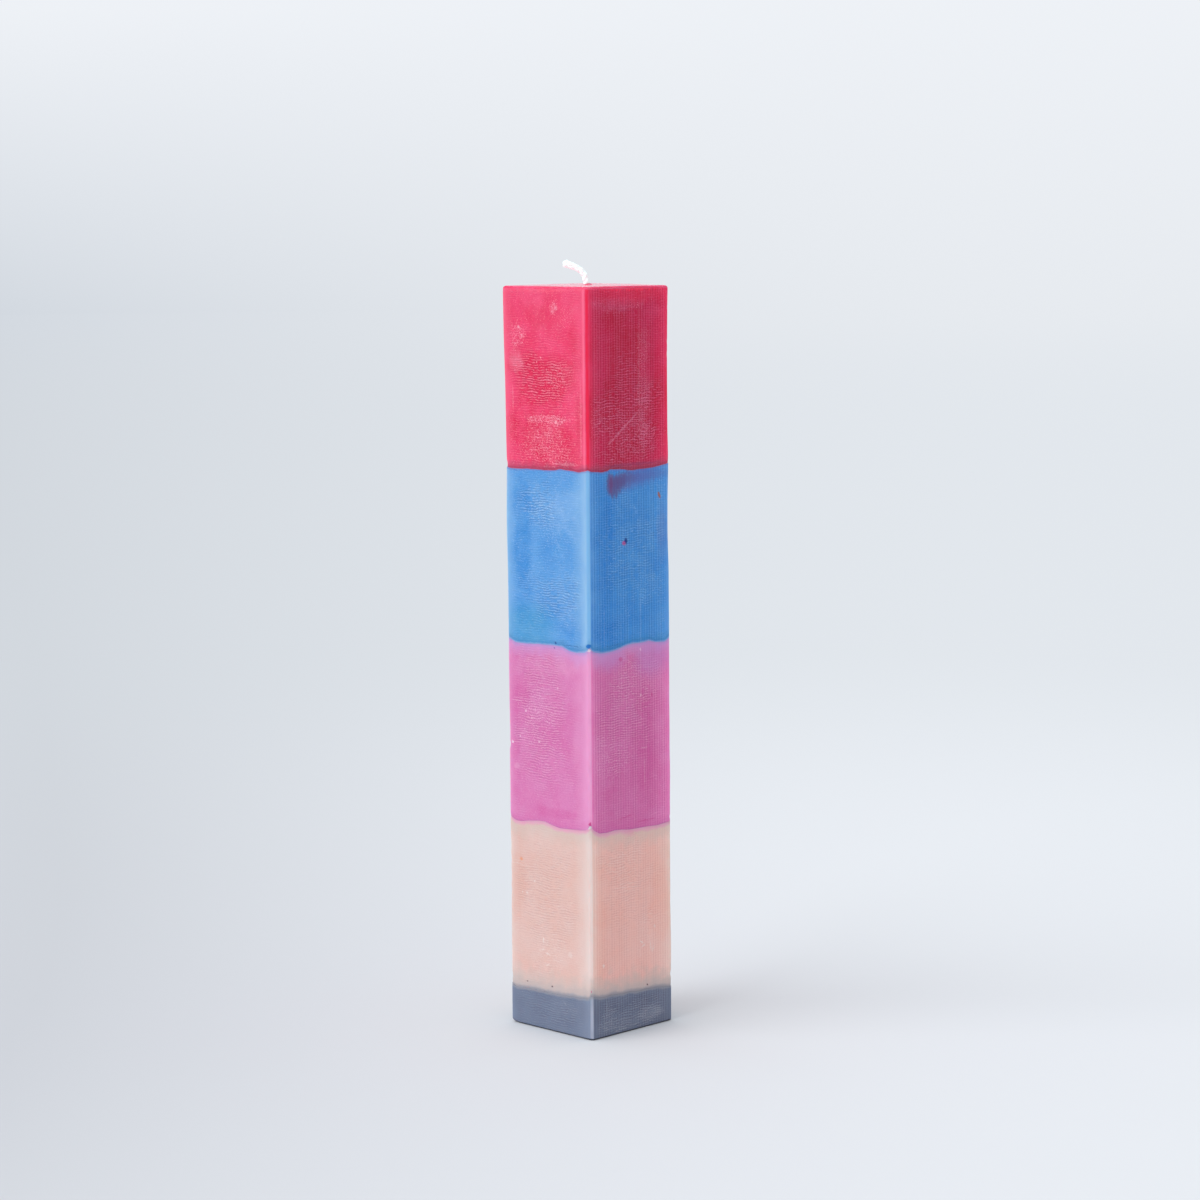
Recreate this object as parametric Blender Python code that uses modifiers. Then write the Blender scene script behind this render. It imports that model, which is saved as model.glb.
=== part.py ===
"""Square pillar candle cast in five coloured pours of wax around one braided cotton wick.

Metres, +Z up. The origin is the centre of the base, and the side faces are square to X and Y.
The pours are named by colour from the top down: red, blue, pink, peach and a thin grey base.
"""

import math

import bmesh
import bpy
from mathutils import Matrix, Vector

# Driving sizes
SIDE = 0.0400  # across the flats at the foot
HEIGHT = 0.2570  # foot to top face, without the wick
FIT_GAP = 0.0003  # left between neighbouring solids
WICK_WIDTH = 0.0024

# Shape of the casting, as shares of the side or the height so that it follows them
EDGE_RADIUS = SIDE * 0.038
FOOT_ROUNDING = SIDE * 0.036
TOP_ROUNDING = SIDE * 0.012
MOULD_DRAFT = 0.0025  # how much narrower the waist is than the foot, as a share
SEAM_SHARES = {"blue": 0.7576, "pink": 0.5230, "peach": 0.2799, "grey": 0.0533}
SEAM_DOME = SIDE * 0.040  # each pour dished as it set, so the next one domes into it

# How far each corner of the mouth leans out over the top quarter, as a share of the side
MOUTH_LEAN = {"left": 0.0140, "front": 0.0030, "right": 0.0060, "back": 0.0050}
LEAN_HEIGHTS = (0.80, 0.87, 0.93, 0.97, 1.0)

# Height of each seam's rim above its level, in thousandths of the side: four stations for each
# face, starting at the left corner and going round by the front, right and back corners.
SEAM_RIMS = {
    "blue": (-2, -5, -3, 8, 0, 5, -10, -5, 8, -3, 5, -8, 0, -5, 8, 0),
    "pink": (-2, 0, 10, -20, -15, -32, 10, 12, -12, -15, 8, -10, 0, -8, 5, -12),
    "peach": (5, 12, 20, 10, 15, -15, -32, -35, -30, -20, -5, 8, 5, 8, -5, 10),
    "grey": (-20, -10, -10, 8, 22, 15, 0, -10, -35, -15, 0, 8, 5, 0, -8, 5),
}
# How far the wax below crept up each corner edge, in the same units and the same order
CORNER_CREEP = {
    "blue": (15, 20, 12, 15),
    "pink": (32, 50, 30, 28),
    "peach": (32, 60, 0, 20),
    "grey": (15, 22, 0, 8),
}
CREEP_REACH = SIDE * 0.06
SEAM_CELLS = 24

# Wick: three strands braided where it is bare, a plain round cord inside the wax
STRAND_RADIUS = WICK_WIDTH * 0.25
BRAID_HALF_WIDTH = WICK_WIDTH / 2 - STRAND_RADIUS
BRAID_HALF_DEPTH = WICK_WIDTH * 0.12
BRAID_PITCH = WICK_WIDTH * 3.2
WICK_HOLE_RADIUS = WICK_WIDTH / 2 + FIT_GAP
WICK_FOOT = 0.0005  # trimmed just short of the foot
BRAID_START = 0.0030  # depth below the top face where the braid begins
# The bare end, as shares of its own length: reach to the left along the face diagonal, and rise
WICK_BARE_LENGTH = 0.0112
WICK_BEND = (
    (0.0, 0.0),
    (0.0, 0.15),
    (0.03, 0.29),
    (0.13, 0.42),
    (0.28, 0.51),
    (0.46, 0.58),
    (0.66, 0.64),
)
COLLAR_RADIUS = WICK_WIDTH * 1.15
COLLAR_HEIGHT = WICK_WIDTH * 0.28

# Colour, roughness and how much light passes into the material
WAX = {
    "red": ((0.76, 0.045, 0.12), 0.50),
    "blue": ((0.12, 0.36, 0.76), 0.50),
    "pink": ((0.68, 0.21, 0.46), 0.52),
    "peach": ((0.74, 0.47, 0.42), 0.52),
    "grey": ((0.16, 0.18, 0.26), 0.55),
}
COTTON = ((0.86, 0.84, 0.82), 0.90)

# Directions from the axis to the four corners, in the order that the rim stations go round
CORNERS = {"left": (-1, -1), "front": (1, -1), "right": (1, 1), "back": (-1, 1)}


def clear_scene():
    """Remove the startup objects."""
    for obj in list(bpy.data.objects):
        bpy.data.objects.remove(obj, do_unlink=True)


def collection(name):
    """A new collection in the scene."""
    made = bpy.data.collections.new(name)
    bpy.context.scene.collection.children.link(made)
    return made


def material(name, colour, roughness, scatter):
    """A plain surface material, with some light carried under the surface for wax."""
    made = bpy.data.materials.new(name)
    made.use_nodes = True
    shader = made.node_tree.nodes["Principled BSDF"]
    shader.inputs["Base Color"].default_value = (*colour, 1.0)
    shader.inputs["Roughness"].default_value = roughness
    shader.inputs["Metallic"].default_value = 0.0
    shader.inputs["Subsurface Weight"].default_value = scatter
    shader.inputs["Subsurface Scale"].default_value = 0.002
    made.diffuse_color = (*colour, 1.0)
    return made


def mesh_object(name, mesh_data, home):
    """A new object from a finished bmesh, with its faces turned outward."""
    bmesh.ops.recalc_face_normals(mesh_data, faces=mesh_data.faces)
    mesh = bpy.data.meshes.new(name)
    mesh_data.to_mesh(mesh)
    mesh_data.free()
    obj = bpy.data.objects.new(name, mesh)
    home.objects.link(obj)
    return obj


def hide_cutter(obj):
    """Keep a helper out of the render."""
    obj.hide_render = True
    obj.display_type = "WIRE"
    return obj


def boolean(obj, operation, other):
    """Add an exact Boolean with another object."""
    modifier = obj.modifiers.new(f"{operation.lower()} {other.name}", "BOOLEAN")
    modifier.operation = operation
    modifier.solver = "EXACT"
    modifier.object = other


def smooth(share):
    """Ease from 0 to 1 without a crease at either end."""
    share = min(max(share, 0.0), 1.0)
    return share * share * (3 - 2 * share)


def body_width(share):
    """Half the side at this share of the height: the foot is widest and the mould draws in."""
    return SIDE / 2 * (1 - MOULD_DRAFT * share)


def body_corner(name, share):
    """One corner of the section, with the mouth's lean added near the top."""
    lean = MOUTH_LEAN[name] * SIDE * smooth((share - LEAN_HEIGHTS[0]) / (1 - LEAN_HEIGHTS[0]))
    across, along = CORNERS[name]
    reach = body_width(share) + lean
    return Vector((across * reach, along * reach, share * HEIGHT))


def casting(home):
    """The outside of the whole candle: a block with loops cut where the mouth leans, edges bevelled."""
    mesh_data = bmesh.new()
    bmesh.ops.create_cube(mesh_data, size=SIDE, matrix=Matrix.Translation((0, 0, SIDE / 2)))
    for vert in mesh_data.verts:
        vert.co.z *= HEIGHT / SIDE
    for share in LEAN_HEIGHTS[:-1]:
        everything = [*mesh_data.verts, *mesh_data.edges, *mesh_data.faces]
        level = (0, 0, share * HEIGHT)
        bmesh.ops.bisect_plane(mesh_data, geom=everything, plane_co=level, plane_no=(0, 0, 1))
    for vert in mesh_data.verts:
        side = (1 if vert.co.x > 0 else -1, 1 if vert.co.y > 0 else -1)
        corner = next(name for name in CORNERS if CORNERS[name] == side)
        vert.co = body_corner(corner, vert.co.z / HEIGHT)
    weight = mesh_data.edges.layers.float.new("bevel_weight_edge")
    for edge in mesh_data.edges:
        low, high = sorted(vert.co.z for vert in edge.verts)
        if high - low > HEIGHT * 0.001:
            edge[weight] = 1.0
        elif high < HEIGHT * 0.001:
            edge[weight] = FOOT_ROUNDING / EDGE_RADIUS
        elif low > HEIGHT * 0.999:
            edge[weight] = TOP_ROUNDING / EDGE_RADIUS
    outside = hide_cutter(mesh_object("casting", mesh_data, home))
    bevel = outside.modifiers.new("rounded edges", "BEVEL")
    bevel.limit_method = "WEIGHT"
    bevel.width = EDGE_RADIUS
    bevel.segments = 4
    return outside


def smooth_step(before, low, high, after, share):
    """Place and slope on a smooth curve through four even stations, between the middle two."""
    slope_low = (high - before) / 2
    slope_high = (after - low) / 2
    cube = 2 * low - 2 * high + slope_low + slope_high
    square = 3 * high - 3 * low - 2 * slope_low - slope_high
    place = cube * share**3 + square * share**2 + slope_low * share + low
    return place, 3 * cube * share**2 + 2 * square * share + slope_low


def rim_station(across, along):
    """How far round the wall a ray from the axis through this point meets it, in rim stations."""
    half = max(abs(across), abs(along), 1e-9)
    across, along = across / half, along / half
    if along <= -0.9999:
        return (across + 1) * 2
    if across >= 0.9999:
        return 4 + (along + 1) * 2
    if along >= 0.9999:
        return 8 + (1 - across) * 2
    return 12 + (1 - along) * 2


def rim_offset(colour, station):
    """How far the rim stands above the seam's level here, with the creep up the nearest corner."""
    rims = SEAM_RIMS[colour]
    first = int(station)
    near = [rims[(first + step) % len(rims)] for step in (-1, 0, 1, 2)]
    rise, _ = smooth_step(*near, station - first)
    corner = round(station / 4)
    from_corner = abs(station / 4 - corner) * SIDE
    creep = CORNER_CREEP[colour][corner % 4] * math.exp(-from_corner / CREEP_REACH)
    return (rise + creep) / 1000 * SIDE


def seam_height(colour, across, along):
    """Height of the seam above this pour: a shallow dome whose rim wanders up and down the wall."""
    outward = min(max(abs(across), abs(along)) / (SIDE / 2), 1.0)
    rim = rim_offset(colour, rim_station(across, along)) * outward**2
    return SEAM_SHARES[colour] * HEIGHT + rim + SEAM_DOME * (1 - outward**2)


def pour_region(name, above, below, home):
    """The block of space that one pour fills, from the seam below it to the seam above it."""
    mesh_data = bmesh.new()
    reach = SIDE * 0.6
    bmesh.ops.create_grid(mesh_data, x_segments=SEAM_CELLS, y_segments=SEAM_CELLS, size=reach)
    sheet = list(mesh_data.faces)
    lower = list(mesh_data.verts)
    grown = bmesh.ops.extrude_face_region(mesh_data, geom=sheet, use_keep_orig=True)
    upper = [item for item in grown["geom"] if isinstance(item, bmesh.types.BMVert)]
    for vert in upper:
        vert.co.z = HEIGHT * 1.1
        if above:
            vert.co.z = seam_height(above, vert.co.x, vert.co.y) - FIT_GAP / 2
    for vert in lower:
        vert.co.z = -HEIGHT * 0.1
        if below:
            vert.co.z = seam_height(below, vert.co.x, vert.co.y) + FIT_GAP / 2
    return hide_cutter(mesh_object(name, mesh_data, home))


def wick_hole(home):
    """The hole that the wick runs in, through every pour."""
    mesh_data = bmesh.new()
    length = HEIGHT * 1.2
    bmesh.ops.create_cone(
        mesh_data,
        cap_ends=True,
        segments=20,
        radius1=WICK_HOLE_RADIUS,
        radius2=WICK_HOLE_RADIUS,
        depth=length,
        matrix=Matrix.Translation((0, 0, HEIGHT / 2)),
    )
    return hide_cutter(mesh_object("wick hole", mesh_data, home))


def wax_collar(home):
    """The small fillet where molten wax crept up the wick."""
    profile = []
    for step in range(5):
        share = step / 4
        radius = COLLAR_RADIUS - (COLLAR_RADIUS - WICK_HOLE_RADIUS * 1.05) * share
        profile.append((radius, HEIGHT + COLLAR_HEIGHT * share**2))
    mesh_data = bmesh.new()
    points = [(0, HEIGHT - COLLAR_HEIGHT), (COLLAR_RADIUS, HEIGHT - COLLAR_HEIGHT), *profile]
    points.append((0, profile[-1][1]))
    verts = [mesh_data.verts.new((radius, 0, height)) for radius, height in points]
    edges = [mesh_data.edges.new(pair) for pair in zip(verts, verts[1:])]
    bmesh.ops.spin(
        mesh_data,
        geom=verts + edges,
        cent=(0, 0, 0),
        axis=(0, 0, 1),
        angle=math.tau,
        steps=24,
        use_merge=True,
    )
    bmesh.ops.remove_doubles(mesh_data, verts=mesh_data.verts, dist=1e-6)
    return hide_cutter(mesh_object("wax collar", mesh_data, home))


def pour(colour, outside, region, hole, home, collar=None):
    """One pour of wax: the part of the casting between its two seams, with the wick's hole."""
    solid = bpy.data.objects.new(f"wax_{colour}", outside.data.copy())
    home.objects.link(solid)
    for source in outside.modifiers:
        bevel = solid.modifiers.new(source.name, source.type)
        bevel.limit_method = source.limit_method
        bevel.width = source.width
        bevel.segments = source.segments
    boolean(solid, "INTERSECT", region)
    if collar:
        boolean(solid, "UNION", collar)
    boolean(solid, "DIFFERENCE", hole)
    base, roughness = WAX[colour]
    solid.data.materials.append(material(f"wax_{colour}", base, roughness, 0.4))
    return solid


def wick_path():
    """Points of the wick's centre line from the top face to the trimmed tip, bent to the left."""
    points = []
    for reach, rise in WICK_BEND:
        left = reach * WICK_BARE_LENGTH / math.sqrt(2)
        points.append(Vector((-left, -left, HEIGHT + rise * WICK_BARE_LENGTH)))
    return points


def along_path(points, distance):
    """The position and direction at this distance up the bare wick's smoothed centre line."""
    lengths = [(high - low).length for low, high in zip(points, points[1:])]
    for index, length in enumerate(lengths):
        if distance <= length or index == len(lengths) - 1:
            break
        distance -= length
    before = points[max(index - 1, 0)]
    after = points[min(index + 2, len(points) - 1)]
    share = min(distance / length, 1.0)
    place, heading = smooth_step(before, points[index], points[index + 1], after, share)
    return place, heading.normalized()


def strand(index, home):
    """One strand of the braid: it crosses from side to side twice as slowly as it goes in and out."""
    points = wick_path()
    bare = sum((high - low).length for low, high in zip(points, points[1:]))
    steps = 44
    curve = bpy.data.curves.new(f"strand {index}", "CURVE")
    curve.dimensions = "3D"
    curve.bevel_depth = STRAND_RADIUS
    curve.bevel_resolution = 1
    curve.use_fill_caps = True
    spline = curve.splines.new("POLY")
    spline.points.add(steps)
    sideways = Vector((1, -1, 0)).normalized()
    for step in range(steps + 1):
        distance = -BRAID_START + (bare + BRAID_START) * step / steps
        if distance < 0:
            place, heading = Vector((0, 0, HEIGHT + distance)), Vector((0, 0, 1))
        else:
            place, heading = along_path(points, distance)
        inward = sideways.cross(heading).normalized()
        turn = math.tau * (distance / BRAID_PITCH + index / 3)
        place = place + sideways * BRAID_HALF_WIDTH * math.sin(turn)
        place = place + inward * BRAID_HALF_DEPTH * math.sin(2 * turn)
        spline.points[step].co = (*place, 1.0)
    drawn = bpy.data.objects.new(f"strand {index}", curve)
    home.objects.link(drawn)
    bpy.context.view_layer.update()
    graph = bpy.context.evaluated_depsgraph_get()
    mesh = bpy.data.meshes.new_from_object(drawn.evaluated_get(graph))
    bpy.data.objects.remove(drawn, do_unlink=True)
    mesh_data = bmesh.new()
    mesh_data.from_mesh(mesh)
    bmesh.ops.remove_doubles(mesh_data, verts=mesh_data.verts, dist=1e-7)
    return hide_cutter(mesh_object(f"strand {index}", mesh_data, home))


def wick(home, helpers):
    """The cord inside the wax, joined to the three braided strands of the bare end."""
    mesh_data = bmesh.new()
    top = HEIGHT - BRAID_START * 0.5
    bmesh.ops.create_cone(
        mesh_data,
        cap_ends=True,
        segments=16,
        radius1=WICK_WIDTH / 2,
        radius2=WICK_WIDTH / 2,
        depth=top - WICK_FOOT,
        matrix=Matrix.Translation((0, 0, (top + WICK_FOOT) / 2)),
    )
    cord = mesh_object("wick", mesh_data, home)
    for index in range(3):
        boolean(cord, "UNION", strand(index, helpers))
    base, roughness = COTTON
    cord.data.materials.append(material("wick_cotton", base, roughness, 0.1))
    return cord


def build():
    """Cast the five pours from the top down, then set the wick through them."""
    clear_scene()
    candle = collection("pillar candle")
    helpers = collection("cutters")
    outside = casting(helpers)
    hole = wick_hole(helpers)
    collar = wax_collar(helpers)
    colours = list(WAX)
    for colour, above_seam, below_seam in zip(colours, [None] + colours[1:], colours[1:] + [None]):
        region = pour_region(f"{colour} region", above_seam, below_seam, helpers)
        pour(colour, outside, region, hole, candle, collar if not above_seam else None)
    wick(candle, helpers)


build()
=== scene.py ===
"""Looks for the square pillar candle: five poured waxes, their mould marks and a plaited cotton wick.

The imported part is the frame. Metres, +Z up, foot at Z = 0. The -Y face is on the left of the
picture and the +X face on the right, with the edge between them towards the camera.

Places on the wall are given as (distance along it from the left corner, height) in millimetres:
0 to 40 is the left face, 40 to 80 the right face, and 80 to 160 the two faces at the back.
"""

import math
import random

import bmesh
import bpy
import numpy as np
from mathutils import Matrix, Vector, noise

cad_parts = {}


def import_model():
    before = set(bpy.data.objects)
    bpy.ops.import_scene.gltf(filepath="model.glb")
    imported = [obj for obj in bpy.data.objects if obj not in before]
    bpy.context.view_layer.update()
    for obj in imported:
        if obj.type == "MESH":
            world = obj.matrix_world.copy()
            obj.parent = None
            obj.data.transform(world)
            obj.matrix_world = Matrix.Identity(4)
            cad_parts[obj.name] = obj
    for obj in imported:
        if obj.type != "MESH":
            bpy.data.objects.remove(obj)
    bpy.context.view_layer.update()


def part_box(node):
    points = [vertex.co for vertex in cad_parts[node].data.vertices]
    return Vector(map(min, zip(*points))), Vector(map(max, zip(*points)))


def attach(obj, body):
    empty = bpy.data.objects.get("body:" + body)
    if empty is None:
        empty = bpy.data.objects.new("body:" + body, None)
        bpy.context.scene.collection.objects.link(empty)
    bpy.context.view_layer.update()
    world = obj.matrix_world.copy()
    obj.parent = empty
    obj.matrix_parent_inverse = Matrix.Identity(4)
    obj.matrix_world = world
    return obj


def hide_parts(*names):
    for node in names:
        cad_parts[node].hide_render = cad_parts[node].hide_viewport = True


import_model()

# Main sizes, read from the frame where it gives them. The height is the photograph's, whose top edge
# lies a little under the solids' one
MM = 0.001
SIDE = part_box("wax_grey")[1][0] * 2
HALF = SIDE / 2
HEIGHT = 0.25665
TOP_RADIUS = SIDE * 0.025
DRAFT = 0.0025
WICK_RADIUS = 0.0012
HOLE_RADIUS = WICK_RADIUS * 0.86

# The right corner of the top has sunk a little: how far, and over what length of wall
SUNK_CORNER = 0.24 * MM
SUNK_REACH = 14.0 * MM

# How far each corner of the mouth leans out over the top fifth, in shares of the side, and where
# the corners are, in their order along the wall
MOUTH_LEAN = {"left": 0.0126, "front": 0.0030, "right": 0.0055, "back": 0.0045}
CORNERS = {"left": (-1, -1), "front": (1, -1), "right": (1, 1), "back": (-1, 1)}
LEAN_START = 0.80

# Corner edges: a soft shoulder, a narrow facet and a crisp crease, as direction against arc length
CORNER_ARC = 1.50 * MM
CORNER_TURN = ((0.0, 0.0), (0.30, 45.0), (0.88, 50.0), (1.0, 90.0))
CORNER_STEPS = (0, 0.05, 0.1, 0.15, 0.2, 0.25, 0.3, 0.42, 0.56, 0.7, 0.82, 0.88, 0.91, 0.94, 0.97, 1)

# Foot edge: crisp along the faces, rounder at the corners (extra radius in millimetres)
FOOT_RADIUS = 0.55 * MM
FOOT_LEFT_FACE = 0.35 * MM
FOOT_CORNERS = {"left": 0.80, "front": 0.10, "right": 0.15, "back": 0.45}
FOOT_REACH = 2.6 * MM

# How far chips and worn stretches of a corner edge reach over the wall
EDGE_REACH = 1.1 * MM

# Where the facet begins and is whole, and where it ends, in millimetres from the corner
FACET_START = {"red": (-0.75, -0.3), "grey": (-0.95, -0.35)}
FACET_START_PLAIN = (-1.15, -0.5)
FACET_END = (0.7, 0.88)

# How far the wax pales with a painted highlight across the front edge, as millimetres from the
# corner against strength. The two side corners pale less
PALE_AT = {
    "plain": ((-8, -3.9, -2.6, -1.4, -1.0, 0.88, 0.95), (0, 0.45, 0.75, 1, 1, 0.6, 0)),
    "red": ((-8, -2.6, -2.1, -1.6, -1.15, -0.5), (0, 0.25, 0.35, 1, 0.6, 0)),
}
PALE_AT_SIDES = ((0.7, 0.9, 1.4, 2.4, 5), (0, 0.8, 0.6, 0.28, 0))

# The same for the right face: where it is in full shade, and where light shows through beside its
# first edge and its last one
SHADED_FROM_EDGES = ((0.75, 0.95, 3, 7), (0, 0.5, 0.85, 1))
SHINE_AT_FIRST_EDGE = ((0.8, 0.92, 1.4, 2, 2.6, 4, 8), (0, 1, 0.8, 0.6, 0.45, 0.25, 0))
SHINE_AT_LAST_EDGE = ((-0.3, 0.3, 1, 2, 3, 5, 9, 13), (0, 2, 1.4, 1, 0.75, 0.5, 0.15, 0))
PALE_AT_LAST_EDGE = ((-0.5, -0.3, 0.3, 1.4), (0, 0.55, 0.55, 0))

# How much light shows through each wax just past the front edge
SHINE_THROUGH = {"red": 0.64, "blue": 0.65, "pink": 1.0, "peach": 1.8, "grey": 1.2}

# Unevenness: features per metre, then height, in millimetres for the walls and metres for the seams
BROAD_WAVES = 90
BROAD_HEIGHT = 0.055
FINE_WAVES = 420
FINE_HEIGHT = 0.016
SEAM_WAVES = 450
SEAM_RIPPLE = 0.10 * MM

# Top face: how high the wax creeps up the wick and how much it varies round it, the bead beside it
# and the casting marks. Heights are in millimetres
CREEP_HEIGHT = 0.30
CREEP_LEAN = 0.12
CREEP_REACH = 0.5 * MM
BEAD_PLACE = (1.2 * MM, 1.1 * MM)
BEAD_RADIUS = 0.45 * MM
BEAD_HEIGHT = 0.20
TOP_MARKS = 0.05
TOP_WAVES = 160

# Mesh spacing
ROW_HEIGHT = 0.42 * MM
FACE_COLUMNS = 66

# The seams, drawn along the wall: a level, and places with the seam's rise over that level. The
# first two faces follow the photograph; the back two are like them, with no detail that the front
# lacks.
SEAMS = {
    "blue": (194, (
        (0, 0.8), (2.5, 0.4), (8, 0.4), (12, 0.6), (20, 0.5), (24, 0.7), (26.5, 1.2), (31, 1), (36, 0.6),
        (38.6, 1), (40, 1.5), (41.6, 0.9), (47, 0.4), (49.6, 0.7), (50.6, 1.2), (57, 0.8), (61, 0.2),
        (66, 0.4), (71, 0.5), (76, 1.1), (80, 1.7), (86, 0.9), (95, 0.3), (102, 1), (111, 0.4),
        (120, 1.4), (128, 0.6), (139, 1.1), (150, 0.3),
    )),
    "pink": (133, (
        (0, 3.2), (1.1, 2.5), (4.2, 1.3), (10, 1.3), (16, 1.7), (23.3, 1.9), (26.8, 1.8), (30.5, 0.6),
        (34, 0.3), (38, 0.7), (39.2, 1.4), (40, 2.4), (40.8, 1.8), (42, 1), (45.6, 0), (49.5, 0),
        (54.2, 0.7), (58.8, 1.7), (61, 1.9), (65, 1.8), (69, 2.1), (73, 1.2), (77, 1), (79, 2), (80, 2.8),
        (84, 1.3), (93, 0.7), (102, 1.8), (112, 0.9), (118, 1.4), (120, 2.5), (124, 1.2), (135, 1.7),
        (148, 0.8),
    )),
    "peach": (70, (
        (0, 3.7), (0.9, 3.3), (3.2, 2.2), (5.8, 2), (10, 2.7), (14.7, 3.3), (17.8, 3.4), (21, 2.6),
        (25, 2), (33, 2.4), (37.6, 2.8), (38.8, 3.5), (40, 4.8), (40.8, 3.8), (41.9, 2.6), (44.3, 1.5),
        (47.4, 1.2), (51.4, 1.5), (55.2, 1.3), (59.2, 0.7), (63, 0.7), (72.4, 0.4), (78, 0.7), (80, 1),
        (86, 1.1), (96, 1.9), (108, 1.3), (117, 2.1), (120, 3.4), (124, 2.4), (136, 1.7), (149, 2.3),
    )),
    "grey": (12, (
        (0, 1.8), (0.8, 1.5), (3.2, 0.8), (8.3, 1.2), (12.3, 1.4), (17.3, 1.4), (22.3, 1.4), (27.3, 1.7),
        (30.6, 2), (34.8, 2), (38.5, 2.4), (40, 3.3), (41.4, 3), (44, 2.3), (47.5, 2.2), (49.7, 2.4),
        (54.6, 1.7), (58.6, 1.9), (62.6, 1.3), (67.3, 1.4), (72.3, 1.1), (78, 0.2), (80, 0.2), (88, 0.9),
        (100, 1.5), (112, 0.8), (120, 1.9), (130, 1.2), (145, 1.6),
    )),
}
SEAM_DOME = SIDE * 0.040

# How far each pour stands proud of the mould's wall, and how deep and how far it tucks in at its seam
PROUD = {"red": 0.00, "blue": 0.02, "pink": 0.00, "peach": -0.02, "grey": 0.08}
TUCK = {"red": (0.16, 1.2), "blue": (0.05, 1.0), "pink": (0.03, 1.0), "peach": (0.12, 2.0)}

# Chips and worn stretches of each corner edge: height, half length and depth in millimetres. A
# negative depth stands out
NICKS = {
    "left": [(98.5, 1.1, 0.42), (102, 3, 0.2), (107.5, 3.5, 0.14), (73.1, 0.9, 0.22), (63.5, 2.2, 0.22),
        (58, 1.8, 0.3), (52.5, 2.4, 0.22), (47, 1.6, 0.14), (195.9, 0.9, 0.3), (16.7, 1, 0.22),
        (208, 10, -0.16), (176, 14, -0.24), (236, 24, -0.16)],
    "right": [(249, 0.7, 0.16), (237.3, 0.8, 0.24), (232.9, 1.1, 0.26), (237, 20, 0.76), (210, 9, 0.24),
        (176, 13, 0.6), (72.5, 0.7, 0.2), (16.8, 0.9, 0.3), (42.5, 1.5, 0.12), (26, 14, -0.2),
        (88, 6, -0.12)],
    "front": [(255.9, 0.5, 0.1), (120.5, 2.5, 0.05)],
    "back": [(210, 1.2, 0.24), (150, 2, 0.18), (88, 1.4, 0.26), (30, 1.6, 0.2)],
}

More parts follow.
